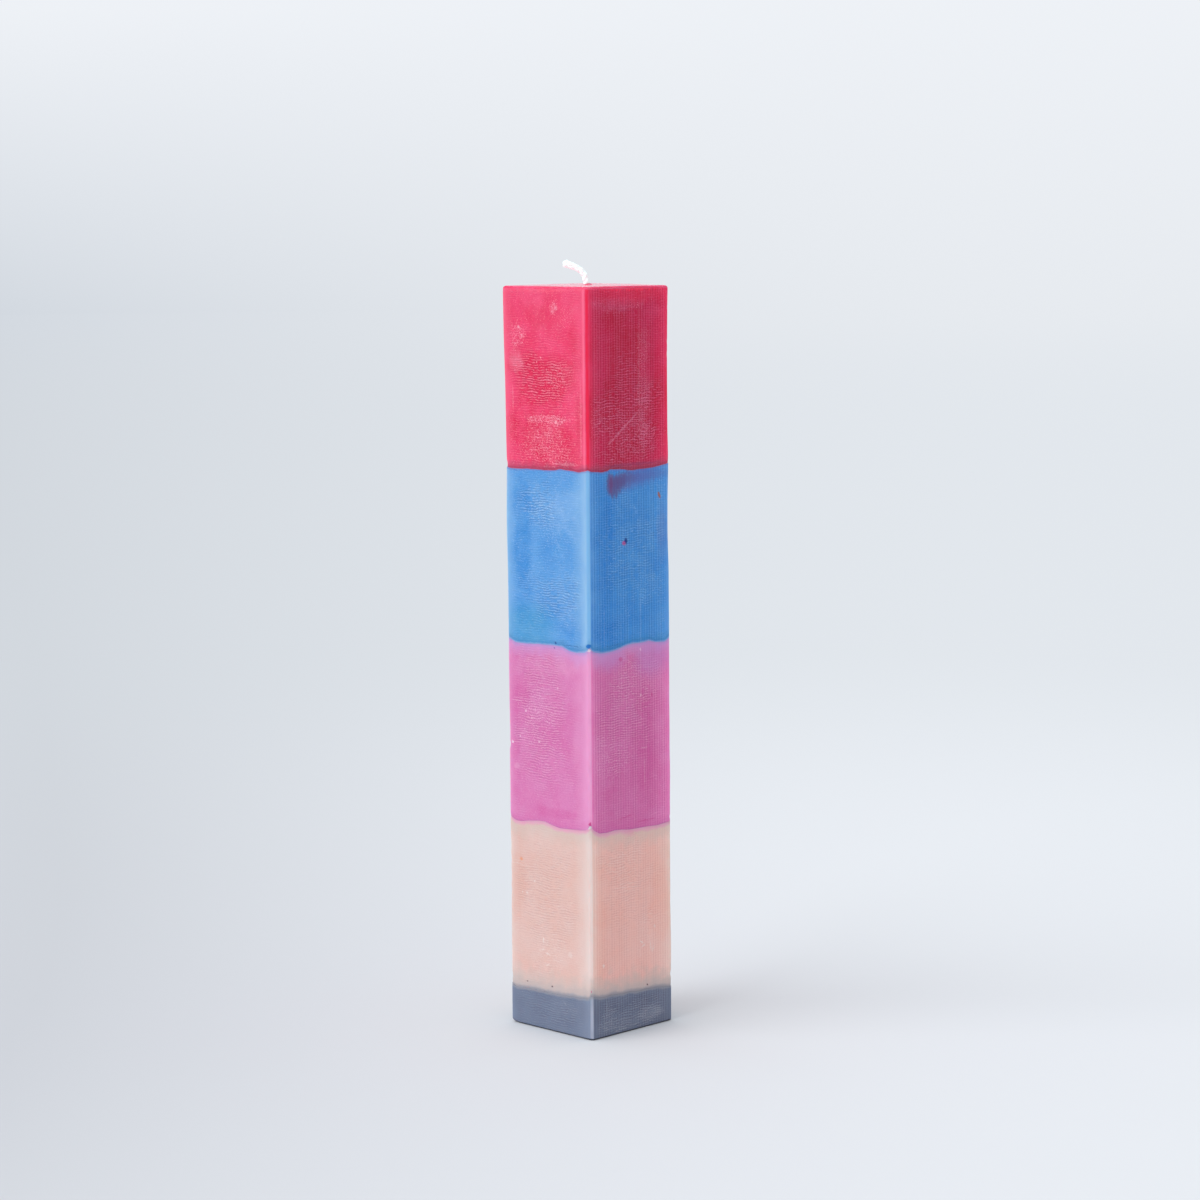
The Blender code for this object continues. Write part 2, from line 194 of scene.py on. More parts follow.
# Where each pour's surface differs: place, height, half width, half height, strength.
# "lines" is the wavy print of the mould, "frost" is white specks, "haze" is an even bloom and
# "deep" is stronger dye.
PATCHES = {
    "red": {
        "lines": [(15, 227, 8, 8, 0.8), (25, 222, 8, 10, 0.35), (58, 212, 18, 17, 0.8),
            (20, 203, 15, 7, 0.2), (20, 248, 20, 8, -0.25)],
        "frost": [(22, 211.8, 14, 1.6, 0.8), (20, 203.5, 17, 8, 0.5), (8, 240, 4, 5, 0.65),
            (26, 226, 6, 7, 0.35), (24.6, 249.5, 2.4, 2.6, 0.8), (30, 246, 5, 4, 0.35),
            (67, 224, 3.6, 18, 0.65), (60, 206, 19, 10, 0.36), (60, 250, 16, 3, 0.3)],
        "haze": [(6.4, 231.8, 3, 4, 0.7), (58, 250.5, 13, 2.2, 0.55), (72, 248, 5, 2.5, 0.4),
            (20, 205, 14, 7, 0.12), (20, 248, 20, 7, 0.15), (33, 215, 5, 14, 0.12),
            (44, 225, 2, 30, 0.12)],
        "deep": [(10.3, 228, 1.2, 5, 0.6), (34.1, 240, 2.4, 6, 0.5), (36, 212, 1.6, 12, 0.6),
            (56, 226, 9, 26, 1), (14, 247, 8, 4, 0.3), (5, 214, 3, 8, 0.4), (20, 205, 20, 10, 0.65),
            (20, 226, 15, 10, 0.85), (60, 212, 20, 20, 0.9)],
    },
    "blue": {
        "lines": [(16, 183, 7, 9, 0.7), (21, 151, 12, 10, 0.8), (60, 165, 14, 20, 0.5)],
        "frost": [(62.4, 180.8, 3.4, 4, 0.5), (52, 163, 6, 4.5, 0.4), (66.6, 154, 5, 6, 0.4),
            (59.4, 147, 3, 3, 0.4), (22, 176, 10, 8, 0.3)],
        "haze": [(31, 182, 8, 11, 0.6), (30, 150, 9, 10, 0.4), (64, 170, 10, 20, 0.3)],
        "deep": [(8, 172, 5, 16, 0.7), (20, 165, 6, 10, 0.3), (48, 160, 5, 26, 0.6), (10, 149, 6, 6, 0.5),
            (22, 144, 20, 9, 0.55)],
    },
    "pink": {
        "lines": [(16, 108, 13, 26, 0.9), (34, 124, 6, 9, -0.5), (58, 112, 13, 18, 0.7),
            (18, 80, 15, 8, -0.3)],
        "frost": [(14, 110, 10, 12, 0.35), (52, 96, 9, 8, 0.4), (62, 122, 10, 9, 0.4)],
        "haze": [(25, 129, 15, 5, 0.6), (34, 100, 4, 22, 0.4)],
        "deep": [(3.5, 104, 3, 30, 0.5), (8, 119, 5, 8, 0.5), (24, 104, 8, 14, 0.3), (66, 100, 8, 24, 0.6),
            (56, 84, 8, 8, 0.4), (25, 77, 12, 2, 0.6)],
    },
    "peach": {
        "lines": [(18, 45, 15, 22, 0.8), (58, 52, 13, 15, 0.7)],
        "frost": [(19, 27, 12, 5, 0.45), (67, 31, 6, 7, 0.45), (57, 56, 8, 6, 0.4)],
        "haze": [(20, 68, 18, 4, 0.7), (30, 24, 10, 8, 0.4), (60, 62, 14, 6, 0.3), (66, 30, 8, 7, 0.4)],
        "deep": [(4, 52, 4, 14, 0.8), (22, 50, 8, 9, 0.3), (44.5, 40, 3, 22, 0.7), (74, 44, 5, 16, 0.7)],
    },
    "grey": {
        "lines": [(60, 6, 17, 6, 1), (20, 7, 16, 5, 0.6)],
        "frost": [(71, 4.7, 6, 2.2, 0.8), (48, 6, 4, 5, 0.5), (60, 5, 16, 5, 0.3)],
        "haze": [(26, 9, 8, 3, 0.4), (55, 3, 12, 2, 0.4)],
        "deep": [(60, 10, 14, 2.5, 0.6), (14, 6, 8, 4, 0.4)],
    },
}
PATCH_BASE = {"lines": 0.30, "frost": 0.12, "haze": 0.10, "deep": 0.05}

# Colours of stains, scratches and specks, and of the painted glow along the top rim
TINTS = {
    "navy": (0.02, 0.06, 0.28), "teal": (0.1, 0.42, 0.6), "maroon": (0.24, 0.045, 0.15),
    "wine": (0.13, 0.09, 0.26), "violet": (0.13, 0.14, 0.45), "lilac": (0.55, 0.28, 0.66),
    "magenta": (0.62, 0.03, 0.22), "orange": (0.86, 0.3, 0.13), "scarlet": (1.2, 0.05, 0.13),
    "blush": (1, 0.17, 0.28), "rose": (0.8, 0.34, 0.46), "azure": (0.02, 0.19, 0.6),
    "rust": (0.42, 0.17, 0.13), "bloom": (0.78, 0.28, 0.46), "dark": (0.14, 0.07, 0.08),
}

# The marks themselves: place, height, half length, half width and strength, then the tint if it
# isn't chalk, and the turn in degrees if there is one
MARKS = {
    "red": [
        (18.1, 232.5, 0.4, 0.35, 0.7), (16.2, 231.1, 0.35, 0.3, 0.6), (9.4, 239.7, 0.3, 0.8, 0.4),
        (8, 242.7, 0.45, 0.4, 0.65), (9.6, 237.6, 0.3, 0.3, 0.5), (24.6, 249.4, 2, 1.9, 0.08),
        (4.3, 218.8, 0.3, 5, 0.25), (26.1, 212.2, 0.55, 0.35, 0.55), (25.1, 211.1, 0.65, 0.5, 0.6),
        (13, 212.3, 0.5, 0.3, 0.6), (58.3, 248.3, 4.6, 0.35, 0.15, "maroon"), (64.6, 226, 0.32, 28, 0.07),
        (57.5, 209, 9, 0.42, 0.55, "bloom", 35.6), (51.1, 204.6, 1.5, 0.8, 0.2, "bloom", 30),
        (36.9, 212, 0.45, 14, 0.22), (29, 197, 8, 0.45, 0.25), (61, 196.3, 15, 0.6, 0.5, "maroon"),
        # Painted light: a glow along the top rim of both faces, where light shines through the wax
        (61, 255, 24, 5, 0.24, "scarlet"), (61, 256.8, 24, 1.9, 0.9, "scarlet"),
        (19, 256.4, 24, 2.2, 0.5, "blush"),
    ],
    "blue": [
        (39.8, 136, 1.4, 0.8, 0.95, "azure"), (23.9, 135.9, 0.6, 0.45, 0.8, "navy"),
        (32.3, 135.5, 4.9, 0.25, 0.45, "navy"), (11, 141, 15, 9, 0.32, "teal"),
        (60, 190.8, 13, 3.8, 0.5, "violet", 5), (68, 192.4, 14, 2.7, 0.48, "violet", 2),
        (56.5, 191.2, 8, 3, 0.5, "wine", 8), (50.2, 190.3, 1.2, 4.2, 0.7, "wine"),
        (51.8, 189.3, 1.2, 4.7, 0.75, "wine"), (53.5, 189.3, 1.2, 4.4, 0.7, "wine"),
        (55.2, 190.1, 1.2, 3.6, 0.6, "wine"), (57, 191, 1.2, 2.8, 0.5, "wine"),
        (51, 190, 1.1, 3.6, 0.35, "maroon"), (74.6, 184.9, 0.6, 1.3, 0.95, "rust", 20),
        (57.3, 169.8, 1.1, 0.9, 0.7, "magenta"), (58.1, 170.4, 0.75, 1.1, 1, "navy"),
        (47.4, 141.5, 0.25, 8.5, 0.16), (65, 143, 0.25, 10.5, 0.16),
        (76.3, 172.4, 3.4, 12, 0.25, "violet"), (51.8, 135.3, 6.5, 0.22, 0.35, "navy", 4),
    ],
    "pink": [
        (39.9, 134.7, 1.2, 0.6, 0.85), (49.5, 130.5, 9, 5, 0.34, "lilac"),
        (71, 129.5, 11, 8, 0.4, "lilac"), (55.2, 130.1, 1, 0.9, 0.45, "magenta"),
        (64.9, 119, 0.25, 16, 0.16), (64.9, 116.8, 0.4, 0.5, 0.4), (64.8, 132.6, 0.35, 0.45, 0.5),
        (70.4, 116.4, 0.55, 0.9, 0.5, "magenta", 20), (66, 98.4, 2, 0.25, 0.3),
        (66.6, 89.5, 0.25, 6.5, 0.22), (56.8, 75.3, 3.2, 0.3, 0.5, "magenta", 8),
        (67, 73, 5, 0.35, 0.5, "magenta"), (24.7, 120.3, 0.4, 0.5, 0.4), (9.1, 111, 0.5, 0.45, 0.5),
        (11.9, 108.7, 0.6, 0.35, 0.5), (2.2, 99.5, 0.55, 0.5, 0.8), (15.4, 100.9, 0.4, 0.4, 0.5),
        (6, 101.9, 0.35, 0.35, 0.5), (4.8, 114.3, 3, 0.22, 0.4), (5.6, 115.3, 2.2, 0.18, 0.3),
        (4.3, 91.3, 1.6, 1.1, 0.15), (39.9, 75.1, 0.75, 0.7, 0.8, "magenta"),
        (23.3, 134.2, 0.45, 0.35, 0.6, "navy"),
    ],
    "peach": [
        (39.5, 74.1, 1.2, 0.6, 0.8), (6, 58.7, 0.75, 0.65, 0.55, "orange"), (5, 56.9, 4.2, 0.18, 0.35),
        (5.5, 57.9, 3.4, 0.15, 0.25), (8.7, 47.1, 0.45, 0.5, 0.5), (6.5, 47.2, 0.4, 0.35, 0.5),
        (12.5, 51.8, 0.35, 0.45, 0.5), (16.6, 31.7, 0.28, 1.3, 0.8),
        (16, 28.2, 1.7, 0.4, 0.45, "chalk", 10), (18.7, 27.1, 1.3, 0.35, 0.45, "chalk", 160),
        (18.7, 23.1, 1, 0.35, 0.35, "chalk", 30), (29.8, 28.4, 1.2, 1.1, 0.25),
        (20.7, 15.9, 0.4, 0.4, 0.9, "dark"), (8.4, 15.8, 0.4, 0.28, 0.8, "dark"),
        (39.9, 17.1, 0.35, 0.45, 0.7, "magenta"), (58.9, 69.6, 3.6, 1.4, 0.45, "rose"),
        (57.3, 50.8, 6.8, 0.2, 0.35, "chalk", 175), (58, 49.5, 6, 0.18, 0.25, "chalk", 175),
        (58, 52.1, 5.5, 0.18, 0.25, "chalk", 175), (64.7, 30.4, 0.9, 0.35, 0.5, "chalk", 150),
        (65.6, 29, 1, 0.28, 0.4, "chalk", 15), (69.1, 28.5, 0.32, 2.2, 0.45, "chalk", 10),
        (70.3, 27.2, 0.3, 1.6, 0.4, "chalk", 165), (71.3, 35, 0.35, 0.9, 0.35, "chalk", 10),
        (45.9, 25.1, 0.55, 0.8, 0.5), (67.4, 14.9, 0.35, 0.35, 0.95, "dark"),
    ],
    "grey": [
        (27, 11, 1, 0.18, 0.25, "chalk", 140), (47.3, 10.4, 0.25, 2.3, 0.25), (72, 4.5, 4, 1.8, 0.1),
        (54.3, 1.5, 4.6, 0.25, 0.45, "chalk", 4), (51, 2.6, 3, 0.2, 0.3), (49.5, 5, 0.2, 1.5, 0.2),
    ],
}


# Wall of the casting

def corner_profile():
    """One corner edge as runs along the old face and in from it, with its direction at each step."""
    shares = np.linspace(0, 1, 1001)
    angles = np.radians(np.interp(shares, *zip(*CORNER_TURN)))
    runs = [np.concatenate([[0], np.cumsum(part(angles[1:]))]) for part in (np.cos, np.sin)]
    ahead, inward = [run / 1000 * CORNER_ARC for run in runs]
    return [np.interp(CORNER_STEPS, shares, values) for values in (ahead, inward, angles)]


def section_outline():
    """Points round a square section with its corner edges, their outward normals and wall distances."""
    ahead, inward, angles = corner_profile()
    before, after = ahead[-1], inward[-1]
    points, normals, distances = [], [], []
    for turn in range(4):
        quarter = turn * math.pi / 2
        along = np.array((math.cos(quarter), math.sin(quarter)))
        outward = np.array((along[1], -along[0]))
        # Columns crowd towards the corners, where the outline shows against the floor
        shares = np.linspace(0.12, 0.88, FACE_COLUMNS)
        crowded = np.cos(math.pi * 0.12) - np.cos(math.pi * shares)
        crowded = 0.0005 + 0.999 * crowded / crowded[-1]
        for share in crowded:
            place = -HALF + after + (SIDE - before - after) * share
            points.append(along * place + outward * HALF)
            normals.append(outward)
            distances.append(turn * SIDE + HALF + place)
        for run, depth, angle in zip(ahead, inward, angles):
            points.append(along * (HALF - before + run) + outward * (HALF - depth))
            normals.append(outward * math.cos(angle) + along * math.sin(angle))
            share = (run + depth) / (before + after)
            distances.append((turn + 1) * SIDE - before + (before + after) * share)
    return np.array(points), np.array(normals), np.array(distances)


OUTLINE, NORMALS, ALONG = section_outline()
COLUMNS = len(OUTLINE)
FROM_CORNER = (ALONG / SIDE - np.round(ALONG / SIDE)) * SIDE / MM
RING_ANGLE = np.arctan2(OUTLINE[:, 1], OUTLINE[:, 0])
CIRCLE = np.stack([np.cos(RING_ANGLE), np.sin(RING_ANGLE)], axis=-1)


def wall_gap(place):
    """Distance of every column from a place on the wall, the short way round."""
    return (ALONG - place + 2 * SIDE) % (4 * SIDE) - 2 * SIDE


def smooth(share):
    """Ease from 0 to 1 without a crease at either end."""
    share = np.clip(share, 0.0, 1.0)
    return share * share * (3 - 2 * share)


def ring_place(distance):
    """A point on a circle for this distance along the wall, so that noise read there wraps round."""
    angle = distance / (4 * SIDE) * math.tau
    return Vector((math.cos(angle), math.sin(angle), 0)) * 4 * SIDE / math.tau


def rim(colour):
    """Height of a seam at every column, wrapped round the wall."""
    level, points = SEAMS[colour]
    place, rise = np.array(points).T * MM
    height = level * MM + rise
    place = np.concatenate([place - 4 * SIDE, place, place + 4 * SIDE])
    height = np.tile(height, 3)
    fine = np.linspace(-0.2 * SIDE, 4.2 * SIDE, 1760)
    drawn = np.interp(fine, place, height)
    kernel = np.hanning(9)
    drawn = np.convolve(drawn, kernel / kernel.sum(), mode="same")
    ripple = [noise.noise(Vector((0, 0, height[0] * 700)) + ring_place(d) * SEAM_WAVES) for d in ALONG]
    return np.interp(ALONG, fine, drawn) + SEAM_RIPPLE * np.array(ripple)


def leaned(points, height):
    """Points of the section moved out by the mould's draft and by the lean of the mouth."""
    share = height / HEIGHT
    moved = points * (1 - DRAFT * share)[..., None]
    rise = smooth((share - LEAN_START) / (1 - LEAN_START))
    for name, sign in CORNERS.items():
        weight = (1 + points[..., 0] * sign[0] / HALF) * (1 + points[..., 1] * sign[1] / HALF) / 4
        moved = moved + (weight * rise * MOUTH_LEAN[name] * SIDE)[..., None] * np.array(sign)
    return moved


def corner_nearness(name, reach):
    """1 on one corner edge, falling to 0 on either side of it."""
    return np.exp(-((wall_gap(list(CORNERS).index(name) * SIDE) / reach) ** 2))


NEAR = {name: corner_nearness(name, EDGE_REACH) for name in CORNERS}


def wall_noise(height, scale, seed):
    """Smooth noise at every point of a wall, wrapped round it."""
    values = np.empty_like(height)
    for column, distance in enumerate(ALONG):
        place = ring_place(distance)
        for row, level in enumerate(height[:, column]):
            place.z = level
            values[row, column] = noise.noise(place * scale + Vector((seed, 3 * seed, 0)))
    return values


def relief(colour, height, low, broad, fine):
    """How far the wall stands out or in at each point of a pour, in metres."""
    out = np.full_like(height, PROUD[colour] * MM)
    out += (BROAD_HEIGHT * broad + FINE_HEIGHT * fine) * MM
    if colour in TUCK:
        depth, reach = TUCK[colour]
        out -= depth * MM * np.exp(-(height - low) / (reach * MM))
    for name, nicks in NICKS.items():
        for level, reach, depth in nicks:
            bite = np.exp(-np.abs((height / MM - level) / reach) ** 2.6)
            out -= depth * MM * bite * NEAR[name]
    return out


def edge_values(colour):
    """At every column how much it takes of the painted edge highlight, the worn and painted facet, the
    right face's painted shade and the painted glow.
    """
    facet_wear_and_sheen = np.interp(FROM_CORNER, FACET_START.get(colour, FACET_START_PLAIN) + FACET_END, (0, 1, 1, 0))
    edge_highlight = np.interp(FROM_CORNER, *PALE_AT.get(colour, PALE_AT["plain"]))
    turned = ALONG / SIDE
    towards_front = (turned < 1.5) & (turned > 0.5) | (turned < 3.5) & (turned > 2.5)
    edge_highlight = np.where(towards_front, edge_highlight, np.interp(FROM_CORNER, *PALE_AT_SIDES))
    shade, glow = 0, 0
    # The second face at the back is shaded half as far as the right one
    for face, strength in ((1, 1.0), (2, 0.5)):
        near, far = (turned - face) * SIDE / MM, (face + 1 - turned) * SIDE / MM
        shade += strength * np.interp(np.minimum(near, far), *SHADED_FROM_EDGES)
        glow += strength * SHINE_THROUGH[colour] * np.interp(near, *SHINE_AT_FIRST_EDGE)
        glow += strength * np.interp(far, *SHINE_AT_LAST_EDGE) * (near > 0)
        edge_highlight = np.maximum(edge_highlight, strength * np.interp(far, *PALE_AT_LAST_EDGE) * (near > 0))
    return {"facet_wear_and_sheen": facet_wear_and_sheen, "edge_highlight": edge_highlight, "shade": shade, "glow": glow}


def patches(colour, kind, height, warp):
    """How strongly one kind of surface shows at each point, from 0 to 1."""
    level = np.full_like(height, PATCH_BASE[kind])
    for place, rise, half_width, half_height, strength in PATCHES[colour][kind]:
        # The same patch comes again, a little higher, on the opposite face
        for turn, lift in ((0, 0), (2 * SIDE, 3 * MM)):
            across = wall_gap(place * MM + turn) / (half_width * MM)
            upward = (height - rise * MM - lift) / (half_height * MM)
            reach = np.hypot(across, upward) + 0.7 * warp
            level += strength * (1 - smooth((reach - 0.45) / 0.85))
    return np.clip(level, 0.0, 1.0)


def add_object(name, data):
    """A new object with this mesh, lamp or camera, linked to the scene."""
    made = bpy.data.objects.new(name, data)
    bpy.context.scene.collection.objects.link(made)
    return made


def finished_mesh(name, mesh_data):
    """A mesh object from the faces built so far."""
    mesh = bpy.data.meshes.new(name)
    mesh_data.to_mesh(mesh)
    mesh_data.free()
    return add_object(name, mesh)


# Pours of wax

def grid_object(name, rows, extra):
    """A closed solid from rows of points that wrap both ways, with extra values for its shader."""
    row_count, column_count = rows.shape[:2]
    index = np.arange(row_count * column_count).reshape(row_count, column_count)
    right = np.roll(index, -1, axis=1)
    up, up_right = np.roll(index, -1, axis=0), np.roll(right, -1, axis=0)
    faces = np.stack([index, right, up_right, up], axis=-1).reshape(-1, 4)
    mesh = bpy.data.meshes.new(name)
    mesh.from_pydata(rows.reshape(-1, 3).tolist(), [], faces.tolist())
    for label, values in extra.items():
        layer = mesh.attributes.new(label, "FLOAT", "POINT")
        layer.data.foreach_set("value", values.astype(np.float32).ravel())
    mesh.shade_smooth()
    mesh.set_sharp_from_angle(angle=math.radians(50))
    mesh.validate()
    return add_object(name, mesh)


def drawn_in(ring, share):
    """A ring moved a share of the way in to the wick's hole."""
    moved = ring.copy()
    moved[:, :2] = ring[:, :2] * (1 - share) + CIRCLE * HOLE_RADIUS * share
    return moved


def hidden_end(rim_row, level, dome, upward):
    """Rings from a rim in to the wick's hole, over a shallow dome."""
    rings = []
    for share in (0.03, 0.09, 0.18, 0.32, 0.5, 0.68, 0.82, 0.91, 0.96, 1.0):
        ring = drawn_in(rim_row, share)
        outward = (1 - share) ** 2
        ring[:, 2] = level + (rim_row[:, 2] - level) * outward + dome * (1 - outward)
        rings.append(ring)
    return rings if upward else rings[::-1]


def top_face(last, last_wall):
    """The candle's top: nearly flat, with casting marks and wax crept up round the wick."""
    rings = []
    for share in np.concatenate([np.linspace(0.02, 0.8, 26), np.linspace(0.82, 1.0, 20)]):
        ring = drawn_in(last, share)
        radius = np.hypot(ring[:, 0], ring[:, 1])
        turn = np.cos(RING_ANGLE - math.radians(40))
        creep = (CREEP_HEIGHT + CREEP_LEAN * turn) * np.exp(-(radius - WICK_RADIUS) / CREEP_REACH)
        bead_gap = ring[:, :2] - BEAD_PLACE
        bead = BEAD_HEIGHT * np.exp(-(bead_gap ** 2).sum(axis=1) / BEAD_RADIUS ** 2)
        marks = [noise.noise(Vector(point) * TOP_WAVES) for point in ring]
        edge = smooth(np.full(COLUMNS, share * 6))
        sunk = (HEIGHT - TOP_RADIUS - last_wall) * (1 - share)
        ring[:, 2] = HEIGHT - sunk + (creep + bead + TOP_MARKS * np.array(marks) * edge) * MM
        rings.append(ring)
    return rings


def rounded_edge(edge, radius, steps, side):
    """Rows that carry a wall round its top or bottom edge."""
    rows = []
    for step in range(1, steps + 1):
        bend = math.pi / 2 * step / steps
        row = edge.copy()
        row[:, :2] *= (1 - radius * (1 - math.cos(bend)) / HALF)[:, None]
        row[:, 2] += side * radius * math.sin(bend)
        rows.append(row)
    return rows


def foot_radius():
    """Radius of the foot's edge at every column."""
    softer = np.interp(ALONG / SIDE, (0, 0.05, 0.95, 1.02, 3.92, 4), (1, 1, 1, 0, 0, 1))
    radius = FOOT_RADIUS + FOOT_LEFT_FACE * softer
    for name, extra in FOOT_CORNERS.items():
        radius += extra * MM * corner_nearness(name, FOOT_REACH)
    return radius


def pour(colour, above, below):
    """One pour: its wall between two seams, rounded at the mouth or the foot, and its hidden ends."""
    low = rim(below) if below else foot_radius()
    sunk = SUNK_CORNER * corner_nearness("right", SUNK_REACH)
    high = rim(above) if above else HEIGHT - TOP_RADIUS - sunk
    count = int((high.mean() - low.mean()) / ROW_HEIGHT)
    share = np.linspace(0, 1, count)[:, None]
    height = low * (1 - share) + high * share
    broad, fine = wall_noise(height, BROAD_WAVES, 0), wall_noise(height, FINE_WAVES, 7)
    out = relief(colour, height, low, broad, fine)
    flat = np.broadcast_to(OUTLINE, (count, COLUMNS, 2))
    wall = leaned(flat, height) + NORMALS * out[..., None]
    rows = list(np.concatenate([wall, height[..., None]], axis=-1))
    first, last = rows[0], rows[-1]
    if above:
        bottom_rows, top_rows = [], hidden_end(last, high.mean(), SEAM_DOME, True)
    else:
        top_rows = rounded_edge(last, np.full(COLUMNS, TOP_RADIUS), 5, 1)
        top_rows += top_face(top_rows[-1], high)
    if below:
        bottom_rows = hidden_end(first, low.mean(), SEAM_DOME, False)
    else:
        bottom_rows = rounded_edge(first, low, 7, -1)[::-1]
        bottom_rows = hidden_end(bottom_rows[0], 0.0, 0.0, False) + bottom_rows
    rows = np.array(bottom_rows + rows + top_rows)

    # Values for the shader: the ends carry plain ones, so no wall mark shows on them
    def spread(values, end_value):
        ends = [np.full((len(part), COLUMNS), float(end_value)) for part in (bottom_rows, top_rows)]
        return np.concatenate([ends[0], np.broadcast_to(values, height.shape), ends[1]])

    extra = {
        "above_seam": (rows[..., 2] - low) / MM,
        "below_seam": (high - rows[..., 2]) / MM,
        "from_corner": spread(FROM_CORNER, 20),
        "wall": spread(ALONG / MM, -50),
    }
    for label, values in edge_values(colour).items():
        extra[label] = spread(values, 0)
    warp = broad + 0.4 * fine
    for kind, base in PATCH_BASE.items():
        extra[kind] = spread(patches(colour, kind, height, warp), base)
    piece = grid_object(f"candle_{colour}_wax", rows, extra)
    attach(piece, "root")
    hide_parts(f"wax_{colour}")
    return piece


# Shader graphs

class Graph:
    """A node graph, built with short calls."""

    def __init__(self, tree):
        self.tree = tree

    def add(self, kind, inputs, **settings):
        """A new node with its settings, and its inputs linked or given values."""
        node = self.tree.nodes.new(kind)
        for key, value in settings.items():
            setattr(node, key, value)
        for key, value in inputs.items():
            self.put(node.inputs[key], value)
        return node

    def put(self, socket, value):
        """Link a socket to another one, or give it a value."""
        if isinstance(value, bpy.types.NodeSocket):
            self.tree.links.new(value, socket)
        elif socket.type == "RGBA" and len(value) == 3:
            socket.default_value = (*value, 1.0)
        else:
            socket.default_value = value

    def math(self, operation, first, second=0.0, third=0.0, clamp=False):
        """A number worked out from one, two or three others."""
        node = self.add("ShaderNodeMath", {0: first, 1: second, 2: third}, operation=operation)
        node.use_clamp = clamp
        return node.outputs[0]

    def scaled(self, value, factor, plus=0.0, clamp=False):
        """A number times a factor, plus another number."""
        return self.math("MULTIPLY_ADD", value, factor, plus, clamp)

    def vector(self, operation, first, second=(0, 0, 0), scale=1.0):
        """A vector worked out from others, or a number for a length or a dot product."""
        inputs = {0: first, 3: scale} if operation == "SCALE" else {0: first, 1: second}
        node = self.add("ShaderNodeVectorMath", inputs, operation=operation)
        return node.outputs[1 if operation in ("LENGTH", "DOT_PRODUCT") else 0]

    def step(self, value, low, high, start=0.0, end=1.0):
        """Ease from start to end as the value goes from low to high."""
        inputs = {"Value": value, "From Min": low, "From Max": high, "To Min": start, "To Max": end}
        return self.add("ShaderNodeMapRange", inputs, interpolation_type="SMOOTHSTEP").outputs[0]

    def mix(self, factor, first, second, blend="MIX"):
        """Two colours mixed."""
        inputs = {0: factor, 6: first, 7: second}
        return self.add("ShaderNodeMix", inputs, data_type="RGBA", blend_type=blend).outputs[2]

    def product(self, *values):
        """Several numbers multiplied together."""
        result = values[0]
        for value in values[1:]:
            result = self.math("MULTIPLY", result, value)
        return result


class Surface(Graph):
    """A material, with the object's own coordinates in millimetres to hand."""

    def __init__(self, name):
        self.material = bpy.data.materials.new(name)
        self.material.use_nodes = True
        super().__init__(self.material.node_tree)
        self.shader = self.tree.nodes["Principled BSDF"]
        coordinates = self.tree.nodes.new("ShaderNodeTexCoord").outputs["Object"]
        self.mm = self.vector("SCALE", coordinates, scale=1 / MM)
        self.x, self.y, self.z = self.add("ShaderNodeSeparateXYZ", {0: self.mm}).outputs

    def give(self, inputs):
        """Link these inputs of the main shader, or give them values."""
        for key, value in inputs.items():
            self.put(self.shader.inputs[key], value)

    def stretched(self, factors):
        """The place in millimetres, scaled differently along each axis."""
        return self.vector("MULTIPLY", self.mm, factors)

    def noise(self, scale, place=None, detail=2.0, roughness=0.5, seed=0.0):
        """Smooth noise with this many features per millimetre."""
        place = place or self.mm
        if seed:
            place = self.vector("ADD", place, (seed * 13.7, seed * 7.9, seed * 3.1))
        inputs = {"Vector": place, "Scale": scale, "Detail": detail, "Roughness": roughness}
        return self.add("ShaderNodeTexNoise", inputs).outputs[0]

    def attribute(self, name):
        """A number stored on the mesh."""
        return self.add("ShaderNodeAttribute", {}, attribute_name=name).outputs["Fac"]


